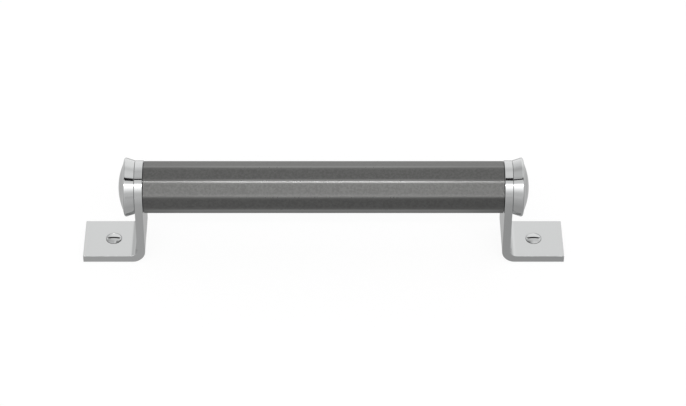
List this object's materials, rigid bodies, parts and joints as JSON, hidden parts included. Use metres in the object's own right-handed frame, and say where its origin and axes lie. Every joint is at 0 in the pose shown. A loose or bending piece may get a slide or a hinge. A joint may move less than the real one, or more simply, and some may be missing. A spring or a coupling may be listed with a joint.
{
  "type": "bracket pull handle",
  "caption": "Straight pull handle: a faceted grip bar held between bent strip brackets with outward screw-down feet and domed turned end caps, for opening a drawer, cabinet or door.",
  "frame": {"origin": "midway between the centres of the foot screws, on the plane of the feet's undersides, which is the face that the handle is screwed to", "axes": "+X along the grip, +Z out of the mounting face towards the grip, -Y the side that the picture shows at the front"},
  "size_m": [0.1822, 0.022, 0.049],
  "materials": {
    "polished_chrome": "polished",
    "graphite_composite": "satin",
    "machined_brass": "as machined",
    "zinc_plated_steel": "zinc plated"
  },
  "bodies": {
    "root": {"grip_bar": "graphite_composite", "left_bracket": "polished_chrome", "left_end_cap": "polished_chrome", "left_foot_screw": "polished_chrome", "left_insert": "machined_brass", "left_locating_pin": "zinc_plated_steel", "left_stud": "zinc_plated_steel", "right_bracket": "polished_chrome", "right_end_cap": "polished_chrome", "right_foot_screw": "polished_chrome", "right_insert": "machined_brass", "right_locating_pin": "zinc_plated_steel", "right_stud": "zinc_plated_steel"}
  },
  "joints": []
}
